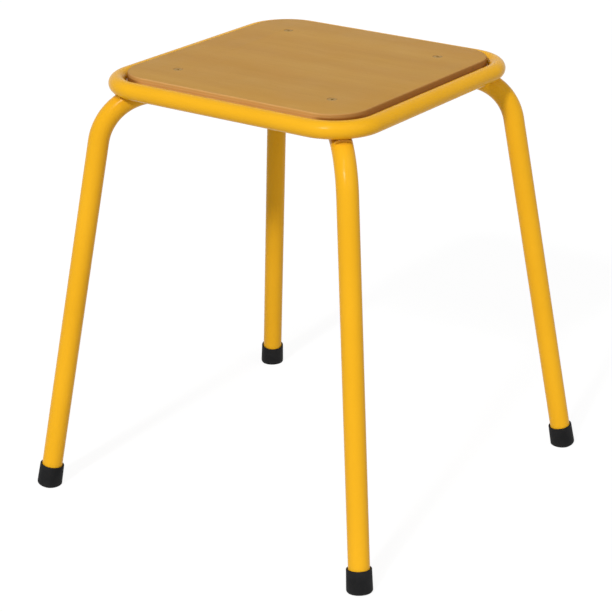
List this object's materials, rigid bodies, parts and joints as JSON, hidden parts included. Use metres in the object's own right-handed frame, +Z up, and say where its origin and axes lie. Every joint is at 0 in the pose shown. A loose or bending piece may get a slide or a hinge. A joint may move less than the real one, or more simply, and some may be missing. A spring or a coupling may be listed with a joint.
{
  "type": "stacking stool",
  "caption": "Backless stacking stool: a square plywood seat with round corners inside a bent tube ring, on splayed tube legs with rubber feet.",
  "frame": {"origin": "on the floor under the middle of the seat", "axes": "+Z up; the seat's sides lie along X and Y, and the front faces -Y"},
  "size_m": [0.4372, 0.4372, 0.46],
  "materials": {
    "plywood": "clear lacquer",
    "yellow_coat": "satin",
    "black_rubber": "matt",
    "zinc_steel": "zinc plated",
    "yellow_zinc": "zinc plated, yellow passivated"
  },
  "bodies": {
    "root": {"seat_board": "plywood", "seat_ring": "yellow_coat", "hoop_tube": "yellow_coat", "half_leg_front_right": "yellow_coat", "half_leg_back_left": "yellow_coat", "seat_screw_front_left": "yellow_zinc", "seat_screw_front_right": "yellow_zinc", "seat_screw_back_right": "yellow_zinc", "seat_screw_back_left": "yellow_zinc", "screw_washer_front_left": "zinc_steel", "screw_washer_front_right": "zinc_steel", "screw_washer_back_right": "zinc_steel", "screw_washer_back_left": "zinc_steel", "cap_nut_front_left": "zinc_steel", "cap_nut_front_right": "zinc_steel", "cap_nut_back_right": "zinc_steel", "cap_nut_back_left": "zinc_steel", "ferrule_front_left": "black_rubber", "ferrule_front_right": "black_rubber", "ferrule_back_right": "black_rubber", "ferrule_back_left": "black_rubber", "ferrule_washer_front_left": "zinc_steel", "ferrule_washer_front_right": "zinc_steel", "ferrule_washer_back_right": "zinc_steel", "ferrule_washer_back_left": "zinc_steel"}
  },
  "joints": []
}
